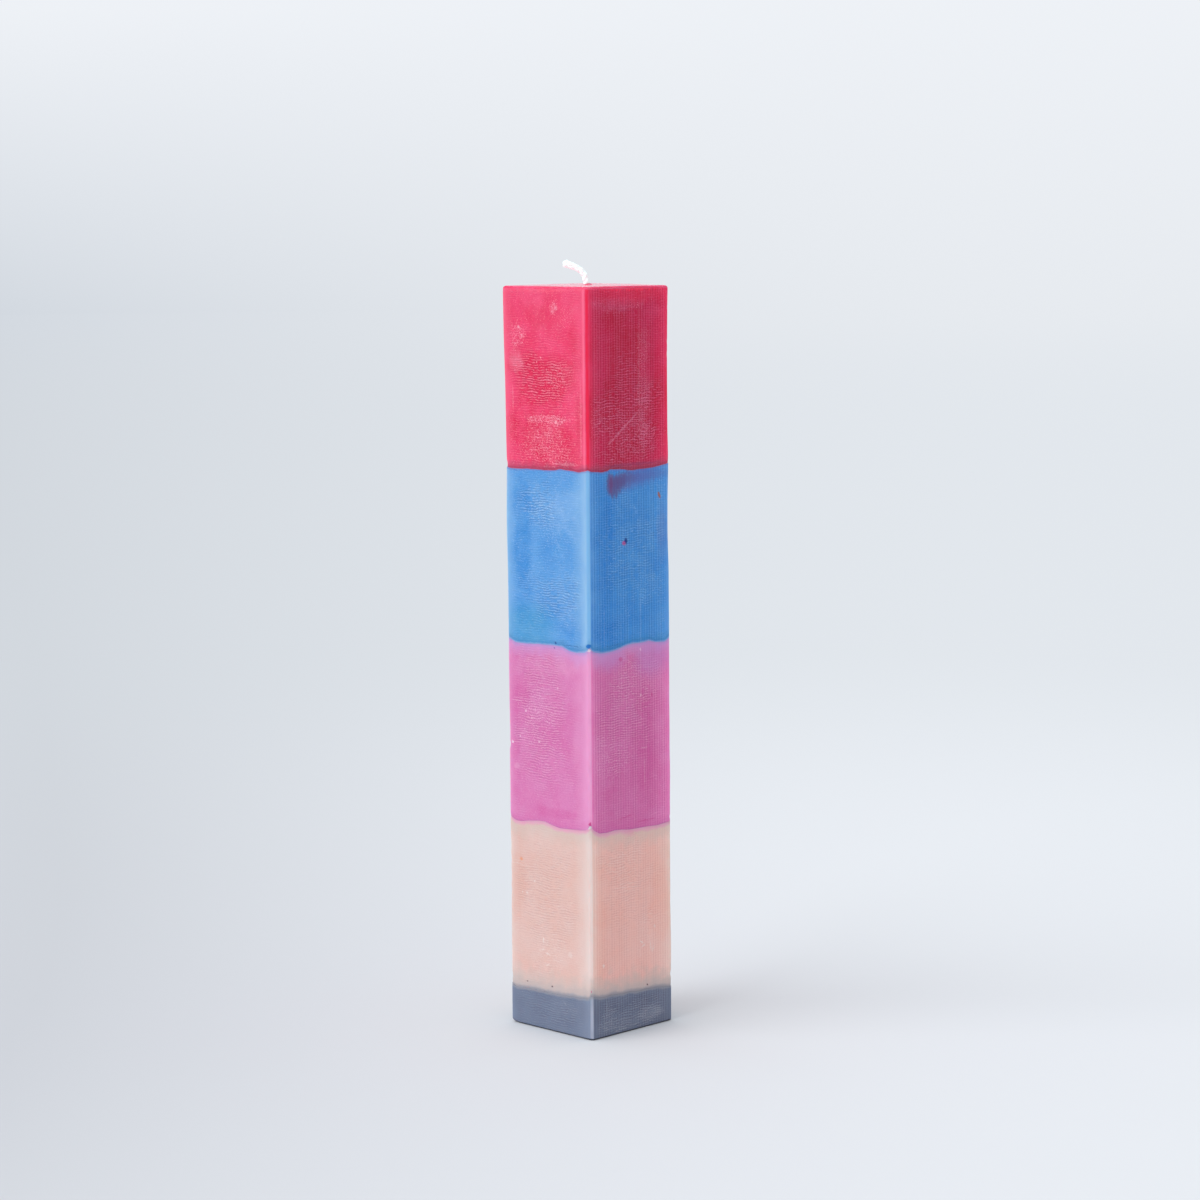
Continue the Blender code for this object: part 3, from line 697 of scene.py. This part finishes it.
# Colours of each wax: its dye where "even" and where "deep", the "frosted" haze and the "chalk" of
# specks. Then the painted highlight where a face nears its corner edge, the facet of the edge itself,
# worn and with a painted sheen, "right" the painted shading that multiplies the right face's colour,
# and "glow" the painted light that brightens that face's edges.
WAX = {
    "red": {
        "even": (0.92, 0.069, 0.192), "deep": (0.8, 0.02, 0.095), "frosted": (0.95, 0.38, 0.52),
        "edge_highlight": (1.0, 0.19, 0.32), "facet_wear_and_sheen": (0.96, 0.028, 0.095), "chalk": (0.95, 0.52, 0.62),
        "right": (0.7, 0.17, 0.42), "glow": (1.34, 0.98, 1.12),
    },
    "blue": {
        "even": (0.145, 0.395, 0.77), "deep": (0.062, 0.295, 0.7), "frosted": (0.46, 0.65, 0.88),
        "edge_highlight": (0.31, 0.54, 0.8), "facet_wear_and_sheen": (0.25, 0.545, 0.86), "chalk": (0.6, 0.75, 0.9),
        "right": (0.35, 0.75, 0.97), "glow": (1.45, 1.2, 1.12),
    },
    "pink": {
        "even": (0.725, 0.24, 0.495), "deep": (0.68, 0.145, 0.4), "frosted": (0.89, 0.54, 0.74),
        "edge_highlight": (0.815, 0.345, 0.605), "facet_wear_and_sheen": (0.92, 0.41, 0.69), "chalk": (0.93, 0.72, 0.84),
        "right": (1.0, 0.79, 0.91), "glow": (1.26, 1.3, 1.26),
    },
    "peach": {
        "even": (0.775, 0.54, 0.49), "deep": (0.765, 0.47, 0.405), "frosted": (0.85, 0.71, 0.68),
        "edge_highlight": (0.795, 0.65, 0.612), "facet_wear_and_sheen": (0.89, 0.728, 0.69), "chalk": (0.89, 0.82, 0.8),
        "right": (1.21, 1.02, 1.0), "glow": (1.13, 1.26, 1.25),
    },
    "grey": {
        "even": (0.18, 0.22, 0.315), "deep": (0.145, 0.17, 0.255), "frosted": (0.38, 0.42, 0.5),
        "edge_highlight": (0.24, 0.285, 0.395), "facet_wear_and_sheen": (0.465, 0.51, 0.62), "chalk": (0.52, 0.55, 0.62),
        "right": (0.92, 0.91, 0.93), "glow": (1.05, 1.04, 1.02),
    },
}

# Pitch of the mould's waves up the wall and of its ruled lines across it, in millimetres
RIPPLE_PITCH = 0.86
RULED_PITCH = 1.2

# How clearly the mould's print and the frost show on each wax
CLARITY = {"red": 1.2, "blue": 0.95, "pink": 0.75, "peach": 0.6, "grey": 0.8}

# Colour that seeps across each seam: side, tint, from and to in millimetres, strength
SEEPS = {
    "red": (("above", (0.3, 0.1, 0.17), 0, 3.6, 0.4), ("above", (0.22, 0.01, 0.06), 0.4, 1.5, 0.3)),
    "blue": (
        ("below", (0.22, 0.12, 0.46), 0, 0.8, 0.4), ("above", (0.05, 0.26, 0.5), 0, 4.0, 0.35),
        ("above", (0.02, 0.12, 0.4), 0.9, 1.9, 0.22), ("above", (0.42, 0.42, 0.76), 0, 0.8, 0.65),
    ),
    "pink": (
        ("below", (0.62, 0.4, 0.76), 0, 6.0, 0.4), ("below", (0.42, 0.34, 0.72), 0, 1.5, 0.45),
        ("above", (0.68, 0.13, 0.4), 0, 4.0, 0.3),
    ),
    "peach": (
        ("below", (0.65, 0.56, 0.51), 0, 8.0, 0.5), ("below", (0.82, 0.36, 0.54), 0, 2.0, 0.85),
        ("above", (0.6, 0.51, 0.48), 0, 9.5, 0.75), ("above", (0.46, 0.42, 0.44), 0, 4.5, 0.45),
        ("above", (0.3, 0.3, 0.36), 0, 1.6, 0.75),
    ),
    "grey": (("below", (0.36, 0.35, 0.38), 0, 1.0, 0.6),),
}


def wax_print(wax, colour):
    """The print of the mould and the frost over it: haze, specks, painted shade in its grooves with some
    random grain, and the relief in mm.
    """
    from_corner = wax.math("ABSOLUTE", wax.attribute("from_corner"))
    clear_of_edges = wax.step(from_corner, 2.0, 4.0)
    wander = wax.product(wax.noise(0.15, detail=1.0, seed=3), 15.0)
    wander = wax.scaled(wax.noise(0.7, detail=0.0, seed=4), 3.4, wander)
    ripple = wax.math("SINE", wax.scaled(wax.z, math.tau / RIPPLE_PITCH, wander))
    broken = wax.step(wax.noise(1.0, wax.stretched((0.60, 0.60, 1.15)), detail=1.0, seed=5), 0.32, 0.58)
    shown = wax.product(broken, wax.attribute("lines"), clear_of_edges)
    crests = wax.product(wax.step(ripple, -0.1, 1.0), shown)
    groove_shade_and_grain = wax.product(wax.step(ripple, 0.1, -1.0), shown)
    upright = wax.math("SINE", wax.product(wax.y, math.tau / RULED_PITCH))
    upright = wax.scaled(upright, 0.5, 0.5)
    streaks = wax.step(wax.noise(1.0, wax.stretched((0.0, 0.8, 0.02)), seed=2), 0.30, 0.60, 0.25, 1.0)
    on_sides = wax.math("SUBTRACT", wax.math("ABSOLUTE", wax.x), wax.math("ABSOLUTE", wax.y))
    on_walls = wax.step(wax.attribute("wall"), -8.0, -1.0)
    ruled = wax.product(streaks, wax.step(on_sides, 0.5, 2.5), on_walls)
    ruled = wax.product(ruled, wax.step(wax.x, -9.0, 9.0, 0.5, 1.0))
    upright = wax.product(upright, ruled)
    groove_shade_and_grain = wax.scaled(wax.math("SUBTRACT", ruled, upright), 0.65, groove_shade_and_grain)
    grain = wax.noise(2.9, detail=2.0, roughness=0.65, seed=8)
    groove_shade_and_grain = wax.math("ADD", groove_shade_and_grain, wax.step(grain, 0.50, 0.30, 0.0, 0.55))
    level = wax.scaled(wax.attribute("frost"), 0.16, grain)
    level = wax.scaled(crests, 0.08, level)
    dots = wax.product(wax.step(level, 0.64, 0.74), wax.step(from_corner, 1.2, 2.2))
    cloud = wax.step(wax.noise(0.16, detail=4.0, roughness=0.62, seed=6), 0.40, 0.72)
    # The print's crests whiten towards the frosted colour: frost on them, with a painted highlight
    white = wax.product(crests, 0.36)
    white = wax.scaled(upright, 0.20, white)
    haze = wax.product(wax.attribute("haze"), wax.scaled(cloud, 0.7, 0.3))
    white = wax.scaled(haze, 0.40, white, clamp=True)
    relief_mm = wax.product(crests, 0.080)
    relief_mm = wax.scaled(upright, 0.030, relief_mm)
    relief_mm = wax.scaled(grain, 0.030, relief_mm)
    strength = CLARITY[colour]
    specks = wax.product(dots, 0.46)
    return [wax.product(value, strength) for value in (white, specks, groove_shade_and_grain, relief_mm)]


def add_seeps(wax, tone, colour):
    """Dye that crept across the seams while the pours were warm."""
    uneven = wax.noise(0.30, detail=3.0, seed=11)
    for side, tint, start, end, strength in SEEPS[colour]:
        scale = wax.scaled(uneven, 1.4, 0.3)
        distance = wax.math("DIVIDE", wax.attribute(f"{side}_seam"), scale)
        amount = wax.step(distance, max(start, end * 0.15), end, strength, 0.0)
        if start:
            amount = wax.product(amount, wax.step(distance, start * 0.3, start))
        tone = wax.mix(amount, tone, tint)
    return tone


def add_marks(wax, tone, colour):
    """Stains, scratches and specks, and the painted glow along the top rim, each with an uneven outline.
    """
    place = wax.add("ShaderNodeCombineXYZ", {0: wax.attribute("wall"), 1: wax.z}).outputs[0]
    ragged = wax.add("ShaderNodeTexNoise", {"Vector": wax.mm, "Scale": 1.1, "Detail": 3.0})
    ragged = wax.vector("SUBTRACT", ragged.outputs["Color"], (0.5, 0.5, 0.5))
    small, large = [wax.vector("MULTIPLY_ADD", ragged, (reach, reach, 0.0)) for reach in (1.2, 4.0)]
    for moved in (small, large):
        wax.put(moved.node.inputs[2], place)
    scuffed = wax.step(wax.noise(1.6, detail=2.0, seed=12), 0.38, 0.62, 0.30, 1.0)
    for along, height, half_length, half_width, strength, *named in MARKS[colour]:
        tint = named[0] if named else "chalk"
        turn = named[1] if len(named) > 1 else 0.0
        broad = min(half_length, half_width) > 1.2
        scratch = max(half_length, half_width) > 4 * min(half_length, half_width) and not broad
        inputs = {
            "Vector": large if broad else small,
            "Location": (along, height, 0.0),
            "Rotation": (0.0, 0.0, math.radians(turn)),
            "Scale": (half_length, half_width, 1.0),
        }
        local = wax.add("ShaderNodeMapping", inputs, vector_type="TEXTURE").outputs[0]
        reach = wax.vector("LENGTH", local)
        amount = wax.step(reach, 0.30 if broad else 0.60, 1.20, strength, 0.0)
        if scratch:
            amount = wax.product(amount, scuffed)
        tone = wax.mix(amount, tone, WAX[colour].get(tint) or TINTS[tint])
    return tone


def by_face(wax, shade, look, kind, power):
    """One of a wax's pale colours, with a share of the right face's painted shade on that face."""
    right = tuple(part * share ** power for part, share in zip(look[kind], look["right"]))
    return wax.mix(shade, look[kind], right)


def wax_material(colour):
    """Cast wax: cloudy dye, the mould's print, frost, worn edges with painted highlights, painted shade on
    the right face and at the foot, seeping seams and its own marks.
    """
    look = WAX[colour]
    wax = Surface(f"wax_{colour}")
    cloudy = wax.noise(0.10, detail=4.0, roughness=0.6, seed=1)
    depth = wax.scaled(wax.attribute("deep"), 0.9, wax.step(cloudy, 0.62, 0.36, 0.0, 0.45))
    tone = wax.mix(wax.math("MINIMUM", depth, 1.0), look["even"], look["deep"])
    white, specks, groove_shade_and_grain, relief_mm = wax_print(wax, colour)
    # Painted shade in the grooves of the print and its ruled lines, with a random grain darkening as well
    tone = wax.mix(wax.product(groove_shade_and_grain, 0.55), tone, (0.66, 0.50, 0.58), "MULTIPLY")
    shade = wax.attribute("shade")
    # Painted shade: the right face's colour is multiplied by its painted shading
    tone = wax.mix(shade, tone, look["right"], "MULTIPLY")
    tone = wax.mix(white, tone, by_face(wax, shade, look, "frosted", 0.5))
    tone = wax.mix(specks, tone, by_face(wax, shade, look, "chalk", 0.35))
    # Painted light: the right face's edges brighten where light shines through the wax
    tone = wax.mix(wax.attribute("glow"), tone, look["glow"], "MULTIPLY")
    # Painted highlight along the corner edges, and the facet's own wear with a painted sheen, both broken
    # up by patchy noise
    patchy_edge = wax.noise(0.5, wax.stretched((1.0, 1.0, 0.25)), detail=2.0, seed=9)
    patchy_edge = wax.step(patchy_edge, 0.25, 0.60, 0.75, 1.0)
    tone = wax.mix(wax.product(wax.attribute("edge_highlight"), patchy_edge), tone, look["edge_highlight"])
    tone = wax.mix(wax.product(wax.attribute("facet_wear_and_sheen"), patchy_edge), tone, look["facet_wear_and_sheen"])
    tone = add_seeps(wax, tone, colour)
    tone = add_marks(wax, tone, colour)
    # Painted shade: the wax darkens in its lowest millimetre, where the foot meets the floor
    painted_contact_shade = wax.step(wax.z, 0.15, 0.85, 0.95, 0.0)
    tone = wax.mix(painted_contact_shade, tone, (0.015, 0.012, 0.018))

    normal = wax.add("ShaderNodeNewGeometry", {}).outputs["Normal"]
    upward = wax.step(wax.add("ShaderNodeSeparateXYZ", {0: normal}).outputs[2], 0.85, 0.98)
    # The top face pales towards the frosted colour: partly bloom on the wax, partly a painted reflection
    # of the bright backdrop
    tone = wax.mix(wax.product(upward, 0.30), tone, look["frosted"])
    gloss = wax.scaled(white, 0.25, 0.40)
    gloss = wax.product(gloss, wax.scaled(upward, -0.60, 1.0))
    bump = wax.add("ShaderNodeBump", {"Height": relief_mm, "Distance": MM, "Strength": 1.0})
    wax.give({
        "Base Color": tone, "Roughness": gloss, "IOR": 1.44, "Specular IOR Level": 0.15,
        "Subsurface Weight": 0.6, "Subsurface Scale": 1.4 * MM, "Subsurface Radius": (1.0, 0.6, 0.55),
        "Normal": bump.outputs[0],
    })
    return wax.material


# Wick

# The centre line of the bare end, as reach to the left and rise in millimetres, and its girth
WICK_PATH = (
    (0.1, -3.0), (0.1, 0.4), (0.25, 2.0), (0.60, 3.35),
    (1.75, 4.85), (3.05, 5.72), (4.4, 6.32), (7.7, 7.45),
)
WICK_GIRTH = ((0.0, 0.95), (0.45, 1.08), (0.70, 1.16), (1.0, 1.40))
YARNS_PER_STRAND = 3
BRAID_PITCH = 6.4 * MM
YARN_PITCH = 3.4 * MM

# The plait in millimetres, where the girth is 1: how far a strand swings to the side and to the
# front, how far each yarn lies from its strand's middle, and the yarn's radius
SWING_SIDEWAYS = 0.38
SWING_INWARD = 0.32
YARN_REACH = 0.20
YARN_RADIUS = 0.46
YARN_TIP = (0.97, 0.90, 0.78, 0.55)

# Loose fibres: how many, and the radius at three places along each, in metres
FIBRES = 200
FIBRE_RADII = np.array([0.030, 0.024, 0.012]) * MM


def read_at(places, knots, points):
    """Points read off at these places along a line whose points lie at the knots."""
    return np.stack([np.interp(places, knots, points[:, axis]) for axis in range(3)], axis=-1)


def wick_line(count):
    """Evenly spaced places along the wick's centre line, its direction and its girth at each."""
    reach, rise = np.array(WICK_PATH).T * MM
    points = np.stack([-reach / math.sqrt(2), -reach / math.sqrt(2), HEIGHT + rise], axis=-1)
    knots = np.concatenate([[0], np.cumsum(np.linalg.norm(np.diff(points, axis=0), axis=1))])
    fine = np.linspace(0, knots[-1], 400)
    drawn = read_at(fine, knots, points)
    kernel = np.hanning(61)
    kernel /= kernel.sum()
    padded = np.concatenate([
        drawn[0] + (drawn[0] - drawn[1]) * np.arange(30, 0, -1)[:, None],
        drawn,
        drawn[-1] + (drawn[-1] - drawn[-2]) * np.arange(1, 31)[:, None],
    ])
    drawn = np.stack([np.convolve(padded[:, axis], kernel, mode="valid") for axis in range(3)], axis=-1)
    lengths = np.concatenate([[0], np.cumsum(np.linalg.norm(np.diff(drawn, axis=0), axis=1))])
    even = np.linspace(0, lengths[-1], count)
    line = read_at(even, lengths, drawn)
    heading = np.gradient(line, axis=0)
    heading /= np.linalg.norm(heading, axis=1)[:, None]
    girth = np.interp(even / even[-1], *zip(*WICK_GIRTH))
    return line, heading, even, girth


def tube(mesh_data, points, radii, sides=9):
    """A closed round tube through these points, with a rounded far end."""
    rings = []
    heading = np.gradient(points, axis=0)
    reference = Vector((0.3, -0.5, 0.81)).normalized()
    for point, direction, radius in zip(points, heading, radii):
        direction = Vector(direction).normalized()
        first = direction.cross(reference).normalized()
        second = direction.cross(first)
        ring = []
        for side in range(sides):
            turn = math.tau * side / sides
            offset = first * math.cos(turn) + second * math.sin(turn)
            ring.append(mesh_data.verts.new(Vector(point) + offset * float(radius)))
        rings.append(ring)
    for low, high in zip(rings, rings[1:]):
        for side in range(sides):
            after = (side + 1) % sides
            mesh_data.faces.new((low[side], low[after], high[after], high[side]))
    mesh_data.faces.new(rings[0][::-1])
    mesh_data.faces.new(rings[-1])


def wick():
    """Three strands plaited together, each of three twisted yarns, frayed a little at the cut tip."""
    line, heading, travel, girth = wick_line(170)
    sideways = np.array((1.0, -1.0, 0.0)) / math.sqrt(2)
    inward = np.cross(sideways, heading)
    inward /= np.linalg.norm(inward, axis=1)[:, None]
    mesh_data = bmesh.new()
    rng = random.Random(4)
    for strand in range(3):
        turn = math.tau * (travel / BRAID_PITCH + strand / 3)
        centre = line + sideways * (SWING_SIDEWAYS * MM * girth * np.sin(turn))[:, None]
        centre = centre + inward * (SWING_INWARD * MM * girth * np.sin(2 * turn + 0.6))[:, None]
        for yarn in range(YARNS_PER_STRAND):
            twist = math.tau * (travel / YARN_PITCH + yarn / YARNS_PER_STRAND)
            reach = YARN_REACH * MM * girth
            path = centre + sideways * (reach * np.cos(twist))[:, None]
            path = path + inward * (reach * np.sin(twist))[:, None]
            keep = len(path) - rng.randint(0, 4)
            radii = YARN_RADIUS * MM * girth
            radii[keep - len(YARN_TIP):keep] *= YARN_TIP
            tube(mesh_data, path[:keep], radii[:keep], sides=10)
    for _ in range(FIBRES):
        start = rng.randint(50, len(line) - 8)
        turn = rng.uniform(0, math.tau)
        out = Vector(sideways) * math.cos(turn) + Vector(inward[start]) * math.sin(turn)
        root = Vector(line[start]) + out * 0.86 * MM * girth[start]
        lift = Vector(heading[start]) * rng.choice((-1, 1)) * rng.uniform(0.8, 2.6)
        length = rng.uniform(0.35, 0.9) * MM
        middle = root + (out * 0.9 + lift).normalized() * length * 0.5
        end = root + (out * 0.5 + lift * 1.2).normalized() * length
        tube(mesh_data, np.array([root, middle, end]), FIBRE_RADII, sides=4)
    piece = finished_mesh("candle_wick", mesh_data)
    piece.data.shade_smooth()
    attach(piece, "root")
    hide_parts("wick")
    return piece


def cotton_material():
    """White cotton, with red wax drawn up from the foot and a painted pink bounce light from the red top
    along its underside.
    """
    cotton = Surface("wick_cotton")
    height = cotton.math("SUBTRACT", cotton.z, HEIGHT / MM)
    fibre = cotton.noise(7.0, detail=2.0, seed=1)
    tone = cotton.mix(fibre, (0.97, 0.97, 0.98), (1.0, 1.0, 1.0))
    facing = cotton.add("ShaderNodeNewGeometry", {}).outputs["Normal"]
    down = cotton.add("ShaderNodeSeparateXYZ", {0: facing}).outputs[2]
    # Painted light: pink bounce light from the red top on the wick's underside
    painted_red_bounce = cotton.product(cotton.step(down, -0.5, -0.95), cotton.step(height, 3.6, 5.0), 0.15)
    soaked = cotton.step(height, 0.9, 0.1, 0.0, 0.60)
    tone = cotton.mix(cotton.math("MAXIMUM", painted_red_bounce, soaked), tone, (0.90, 0.40, 0.50))
    bump = cotton.add("ShaderNodeBump", {"Height": fibre, "Distance": 0.02 * MM, "Strength": 0.4})
    cotton.give({
        "Base Color": tone, "Roughness": 0.9, "Specular IOR Level": 0.2, "Sheen Weight": 0.5,
        "Sheen Roughness": 0.6, "Normal": bump.outputs[0],
    })
    # Thin cotton passes light on from its far side; this faint glow stands in for that
    cotton.give({"Emission Color": (0.45, 1.0, 0.95), "Emission Strength": 0.36})
    return cotton.material


# Studio

CAMERA_PLACE = (0.779981, -0.779578, 0.282783)
CAMERA_RIGHT = (0.710032, 0.704132, -0.007245)
CAMERA_UP = (-0.080068, 0.090953, 0.992631)
CAMERA_FORWARD = (-0.699603, 0.704220, -0.120958)
CAMERA_LENS = 96.63

# The backdrop's colour just over the floor, at the left of the picture and at the right
BACKDROP = ((0.648, 0.690, 0.745), (0.800, 0.830, 0.870))

# Where the key lamp stands, on the ground
KEY_DIRECTION = (-0.248, -0.966)

# Directions on the ground as the picture shows them
PICTURE_LEFT = (-0.71, -0.70, 0.0)
PICTURE_BACK = (-0.70, 0.71, 0.0)


def camera():
    """The photograph's view, fitted to the candle's corners and edges."""
    data = bpy.data.cameras.new("photo camera")
    data.lens = CAMERA_LENS
    data.sensor_width = 36.0
    data.clip_start = 0.01
    data.clip_end = 50.0
    placed = add_object("photo camera", data)
    turn = Matrix((CAMERA_RIGHT, CAMERA_UP, -Vector(CAMERA_FORWARD))).transposed()
    placed.matrix_world = Matrix.Translation(CAMERA_PLACE) @ turn.to_4x4()
    bpy.context.scene.camera = placed


def broad_light(name, direction, elevation, spread, strength):
    """A very soft lamp that shines evenly from one direction."""
    data = bpy.data.lights.new(name, "SUN")
    data.angle = math.radians(spread)
    data.energy = strength
    placed = add_object(name, data)
    rise = math.radians(elevation)
    flat = Vector((*direction, 0.0)).normalized() * math.cos(rise)
    towards = flat + Vector((0, 0, math.sin(rise)))
    placed.matrix_world = (-towards).to_track_quat("-Z", "Y").to_matrix().to_4x4()


def painted_side_light(graph, leftward):
    """How far the painted light across the picture brightens the backdrop and the floor, from 0 at its
    left to 1 at its right.
    """
    share = graph.scaled(leftward, -0.51, 0.51, clamp=True)
    return graph.product(share, graph.math("SUBTRACT", 2.0, share))


def world():
    """Pale light from all round, a little stronger from the left, from behind and from above."""
    made = bpy.data.worlds.new("studio")
    bpy.context.scene.world = made
    made.use_nodes = True
    sky = Graph(made.node_tree)
    direction = sky.add("ShaderNodeTexCoord", {}).outputs["Generated"]
    strength = 0.60
    for towards, amount in ((PICTURE_LEFT, 0.34), (PICTURE_BACK, 0.22), ((0, 0, 1), 0.20)):
        facing = sky.math("MAXIMUM", sky.vector("DOT_PRODUCT", direction, towards), 0.0)
        strength = sky.scaled(facing, amount, strength)
    lit = made.node_tree.nodes["Background"]
    lit.inputs["Color"].default_value = (0.98, 0.985, 1.0, 1.0)
    sky.put(lit.inputs["Strength"], strength)
    leftward = sky.math("DIVIDE", sky.vector("DOT_PRODUCT", direction, PICTURE_LEFT), 0.186)
    low = sky.mix(painted_side_light(sky, leftward), *BACKDROP)
    rise = sky.add("ShaderNodeSeparateXYZ", {0: direction}).outputs[2]
    rise = sky.scaled(rise, 1 / 0.092, 0.34, clamp=True)
    shown = sky.add("ShaderNodeBackground", {"Color": sky.mix(rise, low, (0.855, 0.883, 0.925))})
    rays = sky.add("ShaderNodeLightPath", {})
    seen = sky.math("MAXIMUM", rays.outputs["Is Camera Ray"], rays.outputs["Is Glossy Ray"])
    blend = sky.add("ShaderNodeMixShader", {0: seen, 1: lit.outputs[0], 2: shown.outputs[0]})
    sky.put(made.node_tree.nodes["World Output"].inputs["Surface"], blend.outputs[0])


def floor():
    """A pale floor that takes the shadow near the candle, with painted light across it, and runs out into
    the backdrop's colour.
    """
    mesh_data = bmesh.new()
    bmesh.ops.create_circle(mesh_data, cap_ends=True, segments=96, radius=8.0)
    piece = finished_mesh("floor", mesh_data)
    paper = Surface("floor_paper")
    away = paper.vector("LENGTH", paper.mm)
    across = paper.vector("DOT_PRODUCT", paper.mm, PICTURE_LEFT)
    wide = paper.scaled(away, 0.20, 160.0)
    side = painted_side_light(paper, paper.math("DIVIDE", across, wide))
    # Painted light: the floor's colour runs from darker at the left to lighter at the right; far off it
    # glows with the backdrop's colour
    near = paper.mix(side, (0.601, 0.629, 0.668), (0.784, 0.817, 0.855))
    far = paper.mix(side, (0.650, 0.688, 0.735), (0.764, 0.802, 0.848))
    furthest = paper.mix(side, *BACKDROP)
    far = paper.mix(paper.step(away, 2500.0, 8000.0), far, furthest)
    paper.give({"Base Color": near, "Roughness": 0.9, "Specular IOR Level": 0.1})
    glow = paper.add("ShaderNodeEmission", {"Color": far, "Strength": 1.0})
    fade = paper.step(away, 240.0, 1000.0)
    blend = paper.add("ShaderNodeMixShader", {0: fade, 1: paper.shader.outputs[0], 2: glow.outputs[0]})
    paper.put(paper.tree.nodes["Material Output"].inputs["Surface"], blend.outputs[0])
    piece.data.materials.append(paper.material)


def build():
    """Dress every pour and the wick, then set the studio."""
    colours = ["red", "blue", "pink", "peach", "grey"]
    for colour, above, below in zip(colours, [None] + colours[:-1], colours[1:] + [None]):
        # A seam is named after the pour under it
        piece = pour(colour, colour if above else None, below)
        piece.data.materials.append(wax_material(colour))
    wick().data.materials.append(cotton_material())
    floor()
    world()
    broad_light("key", KEY_DIRECTION, elevation=40.0, spread=50.0, strength=1.08)
    camera()
    bpy.context.scene.view_settings.view_transform = "Standard"


build()
